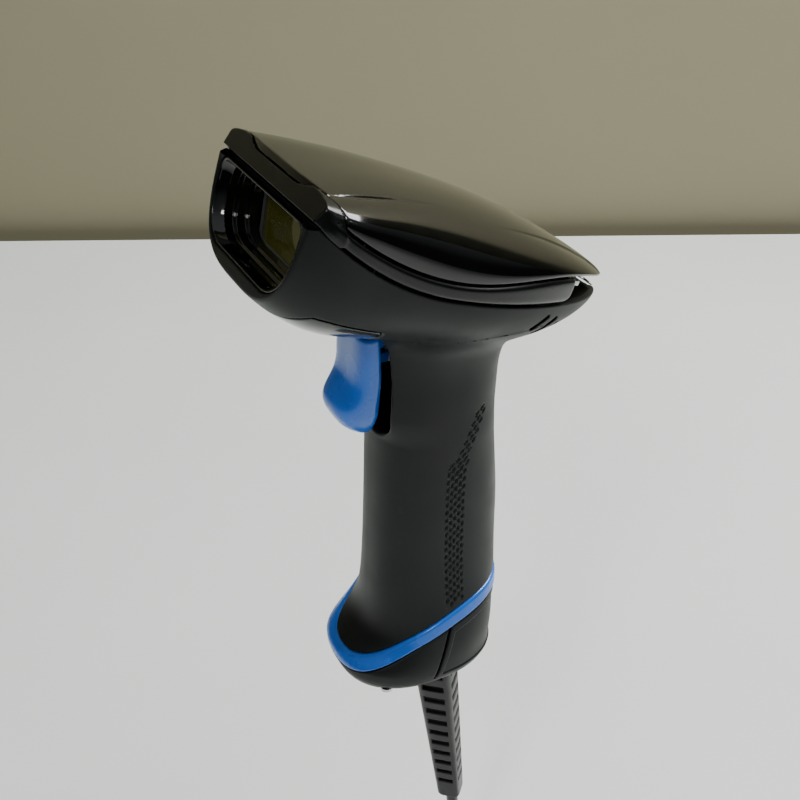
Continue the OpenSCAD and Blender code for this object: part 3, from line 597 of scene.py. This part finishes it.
def make_mesh(name, vertices, faces, normals=None):
    """Smooth-shaded object from arrays in millimetres. All faces have the same number of corners."""
    mesh = bpy.data.meshes.new(name)
    sides = faces.shape[1]
    mesh.vertices.add(len(vertices))
    mesh.vertices.foreach_set("co", (vertices * MM).astype(np.float32).ravel())
    mesh.loops.add(faces.size)
    mesh.loops.foreach_set("vertex_index", faces.astype(np.int32).ravel())
    mesh.polygons.add(len(faces))
    mesh.polygons.foreach_set("loop_start", np.arange(0, faces.size, sides, dtype=np.int32))
    mesh.update(calc_edges=True)
    mesh.validate()
    mesh.polygons.foreach_set("use_smooth", np.ones(len(mesh.polygons), bool))
    if normals is not None:
        mesh.normals_split_custom_set_from_vertices([tuple(n) for n in normals])
    obj = bpy.data.objects.new(name, mesh)
    bpy.context.scene.collection.objects.link(obj)
    return obj


def stand_in(obj, node, body, slot):
    """Shows the piece instead of its CAD node, on the node's body and in its finish."""
    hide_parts(node)
    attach(obj, body)
    obj.data.materials.append(FINISHES[slot].material)


def shell(name, field, node, body, slot, low, high, cell):
    """Piece meshed from a field, standing for a CAD node."""
    cell = cell * 1
    low, high = np.array(low, float) - MARGIN, np.array(high, float) + MARGIN
    vertices, quads = surface_net(sample(field, low, high, cell))
    vertices = low + vertices * cell
    for _ in range(3):
        slope = gradient(field, vertices)
        length = np.maximum((slope ** 2).sum(1), 0.05)
        move = -(field(vertices) / length)[:, None] * slope
        reach = np.linalg.norm(move, axis=1) + 1e-9
        vertices = vertices + move * np.minimum(1, 0.5 * cell / reach)[:, None]
    slope = gradient(field, vertices)
    slope /= np.linalg.norm(slope, axis=1)[:, None] + 1e-9
    obj = make_mesh(name, vertices, quads, slope)
    stand_in(obj, node, body, slot)


# ---- materials --------------------------------------------------------------

class Finish:
    """Node-based material whose colour, roughness and relief come from noise in the object's own space."""

    def __init__(self, name, colour, rough, **inputs):
        self.material = bpy.data.materials.new(name)
        self.material.use_nodes = True
        self.tree = self.material.node_tree
        self.shader = self.tree.nodes["Principled BSDF"]
        self.shader.inputs["Base Color"].default_value = (*colour, 1)
        self.shader.inputs["Roughness"].default_value = rough
        for key, value in inputs.items():
            self.shader.inputs[key.replace("_", " ")].default_value = value
        self.colour, self.rough = colour, rough
        self.place = self.tree.nodes.new("ShaderNodeTexCoord").outputs["Object"]
        self.height = None

    def node(self, kind, **settings):
        n = self.tree.nodes.new(kind)
        for key, value in settings.items():
            setattr(n, key, value)
        return n

    def link(self, a, b):
        self.tree.links.new(a, b)

    def noise(self, size_mm, detail=3, stretch=(1, 1, 1)):
        scale = self.node("ShaderNodeMapping")
        scale.inputs["Scale"].default_value = stretch
        self.link(self.place, scale.inputs["Vector"])
        n = self.node("ShaderNodeTexNoise")
        n.inputs["Scale"].default_value = 1000 / size_mm
        n.inputs["Detail"].default_value = detail
        self.link(scale.outputs[0], n.inputs["Vector"])
        return n.outputs["Fac"]

    def remap(self, value, from_lo, from_hi, to_lo, to_hi):
        n = self.node("ShaderNodeMapRange")
        ends = {"From Min": from_lo, "From Max": from_hi, "To Min": to_lo, "To Max": to_hi}
        for key, number in ends.items():
            n.inputs[key].default_value = number
        self.link(value, n.inputs["Value"])
        return n.outputs["Result"]

    def mottle(self, size_mm, share, rough_share):
        """Slow variation of colour and roughness."""
        patch = self.noise(size_mm, 4)
        mixer = self.node("ShaderNodeMix", data_type="RGBA")
        mixer.inputs["A"].default_value = (*[c * (1 - share) for c in self.colour], 1)
        mixer.inputs["B"].default_value = (*[min(1, c * (1 + share)) for c in self.colour], 1)
        self.link(self.remap(patch, 0.3, 0.7, 0, 1), mixer.inputs["Factor"])
        self.base = mixer.outputs["Result"]
        self.link(self.base, self.shader.inputs["Base Color"])
        low, high = self.rough * (1 - rough_share), self.rough * (1 + rough_share)
        self.link(self.remap(patch, 0.3, 0.7, low, high), self.shader.inputs["Roughness"])
        return self

    def relief(self, value, height_mm):
        """Adds a bump on top of the ones before it."""
        bump = self.node("ShaderNodeBump")
        bump.inputs["Distance"].default_value = height_mm * MM
        self.link(value, bump.inputs["Height"])
        if self.height is not None:
            self.link(self.height, bump.inputs["Normal"])
        self.height = bump.outputs["Normal"]
        self.link(self.height, self.shader.inputs["Normal"])
        return self

    def grain(self, size_mm, height_mm, detail=3, stretch=(1, 1, 1)):
        return self.relief(self.noise(size_mm, detail, stretch), height_mm)

    def worn_edges(self, colour, strength=0.5):
        """Lighter where the shape turns sharply outwards."""
        sharp = self.node("ShaderNodeNewGeometry").outputs["Pointiness"]
        worn = self.remap(sharp, 0.53, 0.60, 0, strength)
        spotted = self.node("ShaderNodeMath", operation="MULTIPLY")
        self.link(worn, spotted.inputs[0])
        self.link(self.remap(self.noise(2.2, 4), 0.35, 0.6, 0.2, 1), spotted.inputs[1])
        mixer = self.node("ShaderNodeMix", data_type="RGBA")
        mixer.inputs["B"].default_value = (*colour, 1)
        self.link(self.base, mixer.inputs["A"])
        self.link(spotted.outputs[0], mixer.inputs["Factor"])
        self.link(mixer.outputs["Result"], self.shader.inputs["Base Color"])
        return self


def satin(name, colour, rough, grain_mm=0.35, grain_h=0.006, coat=0.0):
    """Finely textured moulding with a low sheen."""
    made = Finish(name, colour, rough, Coat_Weight=coat, Coat_Roughness=0.3, Specular_IOR_Level=0.28)
    made.mottle(14, 0.10, 0.10).grain(grain_mm, grain_h, 2)
    return made.worn_edges([min(1, c * 1.9 + 0.003) for c in colour], 0.35)


def gloss(name, colour, rough, coat=1.0):
    """High-gloss moulding with faint haze and hairline marks."""
    made = Finish(name, colour, rough, Coat_Weight=coat, Coat_Roughness=0.03)
    made.mottle(9, 0.12, 0.35).grain(30, 0.012, 1)
    made.grain(0.5, 0.0006, 4, (0.06, 1, 1))
    return made.worn_edges([min(1, c * 1.6 + 0.004) for c in colour], 0.25)


def rubber(name, colour, rough):
    made = Finish(name, colour, rough, Sheen_Weight=0.15, Sheen_Roughness=0.5)
    made.mottle(5, 0.18, 0.12).grain(0.22, 0.012, 3)
    return made.worn_edges([c * 2.2 + 0.002 for c in colour], 0.4)


def metal(name, colour, rough, stretch=(0.1, 1, 1)):
    made = Finish(name, colour, rough, Metallic=1.0)
    made.mottle(3, 0.08, 0.3).grain(0.12, 0.002, 2, stretch)
    return made


def glass(name, colour, rough, through):
    made = Finish(name, colour, rough, Transmission_Weight=through, Coat_Weight=1.0,
                  Coat_Roughness=0.02, IOR=1.49)
    return made.mottle(12, 0.08, 0.3).grain(8, 0.004, 1)


def laminate(name, colour):
    """Circuit board: weave under a green mask, with copper runs showing as fine relief."""
    made = Finish(name, colour, 0.32, Coat_Weight=0.5)
    made.mottle(4, 0.2, 0.2)
    runs = made.node("ShaderNodeTexBrick")
    runs.inputs["Scale"].default_value = 420
    runs.inputs["Mortar Size"].default_value = 0.03
    made.link(made.place, runs.inputs["Vector"])
    return made.relief(runs.outputs["Fac"], 0.03).grain(0.3, 0.004)


FINISHES = {
    "body_plastic": satin("satin_body", (0.0035, 0.0048, 0.0046), 0.46),
    "frame_plastic": satin("satin_frame", (0.0018, 0.0022, 0.0022), 0.22, 0.12, 0.0015, 0.2),
    "cover_gloss": gloss("gloss_cover", (0.0012, 0.0013, 0.0012), 0.08, 0.35),
    "chin_gloss": gloss("gloss_chin", (0.006, 0.007, 0.007), 0.22, 0.5),
    "window_tint": glass("tinted_window", (0.10, 0.10, 0.012), 0.06, 0.35),
    "soft_rubber": rubber("gasket_rubber", (0.02, 0.02, 0.02), 0.8),
    "blue_plastic": gloss("gloss_blue", (0.001, 0.125, 0.60), 0.26, 0.3),
    "inner_plastic": satin("inner_moulding", (0.03, 0.03, 0.033), 0.55),
    "lens_glass": glass("coated_lens", (0.65, 0.75, 0.9), 0.02, 0.85),
    "sensor_glass": glass("sensor_cover", (0.06, 0.10, 0.13), 0.08, 0.1),
    "circuit_board": laminate("green_laminate", (0.012, 0.13, 0.05)),
    "led_white": gloss("lamp_white", (0.85, 0.83, 0.66), 0.12),
    "led_red": gloss("lamp_red", (0.5, 0.03, 0.02), 0.12),
    "ivory_plastic": satin("ivory_moulding", (0.72, 0.69, 0.58), 0.4),
    "flex_film": gloss("amber_film", (0.5, 0.22, 0.04), 0.25, 0.4),
    "steel": metal("nickel_plate", (0.56, 0.56, 0.58), 0.26),
    "gold": metal("gold_plate", (0.83, 0.58, 0.2), 0.2),
    "wire_sleeve": rubber("wire_sleeve", (0.28, 0.03, 0.03), 0.5),
    "plug_clear": glass("clear_moulding", (0.86, 0.88, 0.9), 0.08, 0.8),
    "boot_rubber": rubber("boot_rubber", (0.0025, 0.003, 0.003), 0.5),
    "cable_rubber": rubber("cable_jacket_rubber", (0.003, 0.0032, 0.0034), 0.45),
    "tie_plastic": satin("nylon_tie", (0.010, 0.010, 0.011), 0.45),
}


def dress_frame():
    """Gives every CAD node its finish and a small bevel."""
    for part in frame["record"]["subparts"]:
        obj = frame["nodes"][part["node"]]
        obj.data.materials.clear()
        obj.data.materials.append(FINISHES[part["material_slot"]].material)
        edge = obj.modifiers.new("edge", "BEVEL")
        edge.width = 0.12 * MM
        edge.segments = 2
        edge.angle_limit = math.radians(40)


# ---- pieces -----------------------------------------------------------------

def cable_path():
    """Centre line of the cable: inside the boot, down to the coil, round it and out to the plug."""
    tip = np.array([JACK_X - BOOT_LEN * math.sin(BOOT_LEAN), 0, -BOOT_LEN * math.cos(BOOT_LEAN)])
    centre = np.array([tip[0] + 10, COIL_R, COIL_Z])
    points = [[JACK_X - s * math.sin(BOOT_LEAN), 0, -s * math.cos(BOOT_LEAN)]
              for s in np.arange(1, BOOT_LEN - 3, 7)]
    for k in range(1, 7):
        t = k / 7
        points.append([mix(tip[0] - 2, centre[0], t ** 2.4), 0, mix(tip[2] - 4, COIL_Z, t ** 0.8)])
    last = COIL_STEPS * COIL_TURNS
    for k in range(last + 8):
        a = math.radians(-90 + 360 * k / COIL_STEPS)
        r = COIL_R + 0.9 * math.sin(math.radians(200 * k / COIL_STEPS))
        drop = (2 * CABLE_R + 0.35) * k / COIL_STEPS + 2.4 * float(smooth(k, last - 10, last + 5))
        points.append(centre + [r * math.cos(a), r * math.sin(a), -drop])
    end = np.array(points[-1])
    points += [end + [0, 4 * s, 0] for s in (1, 2, 3)]
    return np.array(points)


def rounded(path, times):
    """Corner-cutting subdivision of an open path that keeps its ends."""
    for _ in range(times):
        a, b = path[:-1], path[1:]
        between = np.stack([a * 0.75 + b * 0.25, a * 0.25 + b * 0.75], 1).reshape(-1, 3)
        path = np.concatenate([path[:1], between[1:-1], path[-1:]])
    return path


def tube(path, radius, sides):
    """Closed skin round a path."""
    d = np.gradient(path, axis=0)
    d /= np.linalg.norm(d, axis=1)[:, None]
    up = np.array([0.0, 1.0, 0.0])
    rings = []
    turn = np.arange(sides) * 2 * math.pi / sides
    for centre, along in zip(path, d):
        up = up - along * (up @ along)
        up /= np.linalg.norm(up)
        out = np.cross(along, up)
        rings.append(centre + radius * (np.cos(turn)[:, None] * up + np.sin(turn)[:, None] * out))
    n, m = sides, len(rings)
    j = np.arange(n)
    after = (j + 1) % n
    quads = [np.stack([i * n + j, i * n + after, (i + 1) * n + after, (i + 1) * n + j], 1)
             for i in range(m - 1)]
    ends = []
    vertices = np.concatenate(rings + [path[:1], path[-1:]])
    for ring, hub, order in ((0, m * n, -1), (m - 1, m * n + 1, 1)):
        rim = ring * n + j
        corners = [np.roll(rim, -step)[::2] for step in range(3)]
        fan = np.stack(corners + [np.full(n // 2, hub)], 1)
        ends.append(fan[:, ::order])
    return vertices, np.concatenate(quads + ends)


def cable_jacket():
    vertices, faces = tube(rounded(cable_path(), 2), CABLE_R - 0.02, 24)
    obj = make_mesh("cable", vertices, faces)
    stand_in(obj, "cable_jacket", "cable", "cable_rubber")


SHELLS = [
    # name, field, CAD node, body, slot,
    # lowest corner, highest corner, cell
    ("body_shell", main_body, "main_body", "scanner", "body_plastic",
     (-60, -33, 9), (62, 33, 164), 0.45),
    ("brow_and_bead", upper_frame, "upper_frame", "scanner", "frame_plastic",
     (-58, -34, 118), (60, 34, 180), 0.42),
    ("gloss_cover", top_cover, "top_cover", "scanner", "cover_gloss",
     (-60, -33, 120), (60, 33, 182), 0.42),
    ("hood_lining", window_bezel, "window_bezel", "scanner", "cover_gloss",
     (36, -25, 140), (60, 25, 172), 0.3),
    ("chin_cover", chin_plate, "chin_plate", "scanner", "chin_gloss",
     (20, -31, 122), (54, 31, 146), 0.4),
    ("blue_ring", base_ring, "base_ring", "scanner", "blue_plastic",
     (-27, -24, 5), (29, 24, 36), 0.35),
    ("base_front", base_shell, "base_shell", "scanner", "body_plastic",
     (-10, -24, 4), (29, 24, 30), 0.38),
    ("base_door", rear_door, "rear_door", "scanner", "body_plastic",
     (-27, -24, 4), (10, 24, 34), 0.38),
    ("base_cap", bottom_cap, "bottom_cap", "scanner", "body_plastic",
     (-27, -24, 0), (29, 24, 5), 0.38),
    ("trigger_key", trigger, "trigger", "trigger", "blue_plastic",
     (10, -10, 91), (32, 10, 130), 0.3),
    ("cable_boot", strain_relief, "strain_relief", "cable", "boot_rubber",
     (-30, -11, -88), (3, 11, 5), 0.35),
]


def build():
    dress_frame()
    for row in SHELLS:
        shell(*row)
    cable_jacket()


# ---- stage, light and camera, in metres --------------------------------------

CAMERA_AZIMUTH, CAMERA_HEIGHT, CAMERA_ROLL = (math.radians(a) for a in (29.0, 31.8, 2.3))
CAMERA_DISTANCE, CAMERA_TARGET = 0.3188, Vector((0.0043, -0.0071, 0.0924))
CAMERA_LENS = 48.95
TABLE_TURN = math.radians(7)      # how far the table's far edge is turned from the picture plane
TABLE_EDGE = 0.675
WALL_GAP = 0.02
SHEET_HALF_W, WALL_LOW, WALL_HIGH = 4, -1, 3


def camera_back():
    level = math.cos(CAMERA_HEIGHT)
    return Vector((math.sin(CAMERA_AZIMUTH) * level, math.cos(CAMERA_AZIMUTH) * level,
                   math.sin(CAMERA_HEIGHT)))


def place_camera():
    back = camera_back()
    right = (-back).cross(Vector((0, 0, 1))).normalized()
    up = right.cross(-back)
    c, s = math.cos(CAMERA_ROLL), math.sin(CAMERA_ROLL)
    right, up = right * c + up * s, up * c - right * s
    data = bpy.data.cameras.new("view")
    data.lens = CAMERA_LENS
    data.clip_start = 0.01
    camera = bpy.data.objects.new("view", data)
    camera.matrix_world = Matrix.Translation(CAMERA_TARGET + back * CAMERA_DISTANCE) @ Matrix(
        (right, up, back)).transposed().to_4x4()
    bpy.context.scene.collection.objects.link(camera)
    bpy.context.scene.camera = camera


def area_light(name, where, aim, size, power, colour=(1, 1, 1)):
    data = bpy.data.lights.new(name, "AREA")
    data.shape = "RECTANGLE"
    data.size, data.size_y = size
    data.energy = power
    data.color = colour
    light = bpy.data.objects.new(name, data)
    light.location = where
    light.rotation_mode = "QUATERNION"
    light.rotation_quaternion = (Vector(aim) - Vector(where)).to_track_quat("-Z", "Y")
    bpy.context.scene.collection.objects.link(light)


def backdrop_material(name, colour):
    made = Finish(name, colour, 0.7)
    made.mottle(180, 0.02, 0.05)
    return made.grain(2, 0.05).material


def backdrop(name, corners, material):
    mesh = bpy.data.meshes.new(name)
    mesh.from_pydata(corners, [], [(0, 1, 2, 3)])
    mesh.materials.append(material)
    sheet = bpy.data.objects.new(name, mesh)
    bpy.context.scene.collection.objects.link(sheet)


def table_and_wall():
    floor_z = cad_box[0].z - 0.001
    back = camera_back()
    away = Vector((-back.x, -back.y, 0)).normalized()
    side = Vector((away.y, -away.x, 0))

    def spot(forward, sideways, z):
        p = away * (forward + sideways * math.tan(TABLE_TURN)) + side * sideways
        return (p.x, p.y, z)

    w, behind = SHEET_HALF_W, TABLE_EDGE + WALL_GAP
    floor = [spot(-3, -w, floor_z), spot(-3, w, floor_z),
             spot(TABLE_EDGE, w, floor_z), spot(TABLE_EDGE, -w, floor_z)]
    wall = [spot(behind, -w, WALL_LOW), spot(behind, w, WALL_LOW),
            spot(behind, w, WALL_HIGH), spot(behind, -w, WALL_HIGH)]
    backdrop("floor", floor, backdrop_material("pale_table", (0.78, 0.81, 0.79)))
    backdrop("wall", wall, backdrop_material("beige_wall", (0.28, 0.262, 0.165)))


def room_light():
    """Dim at the horizon and brighter overhead."""
    world = bpy.data.worlds.new("room")
    world.use_nodes = True
    room = world.node_tree
    sky = room.nodes["Background"]
    sky.inputs["Color"].default_value = (0.93, 0.97, 1, 1)
    place = room.nodes.new("ShaderNodeTexCoord").outputs["Generated"]
    split = room.nodes.new("ShaderNodeSeparateXYZ")
    climb = room.nodes.new("ShaderNodeMapRange")
    ends = {"From Min": 0.25, "From Max": 0.95, "To Min": 0.015, "To Max": 0.5}
    for key, number in ends.items():
        climb.inputs[key].default_value = number
    room.links.new(place, split.inputs[0])
    room.links.new(split.outputs["Z"], climb.inputs["Value"])
    room.links.new(climb.outputs["Result"], sky.inputs["Strength"])
    bpy.context.scene.world = world


def stage():
    table_and_wall()
    room_light()
    area_light("ceiling", (-0.78, 0.02, 1.3), (0, 0, 0), (0.8, 0.8), 36)
    area_light("window", (0.85, 0.65, 1.05), (0, 0, 0.13), (0.16, 0.3), 5, (1, 0.99, 0.95))
    area_light("strip", (-0.62, 1.05, 0.92), (0, 0, 0.15), (0.5, 0.012), 0.35)


build()
stage()
place_camera()
bpy.context.view_layer.update()
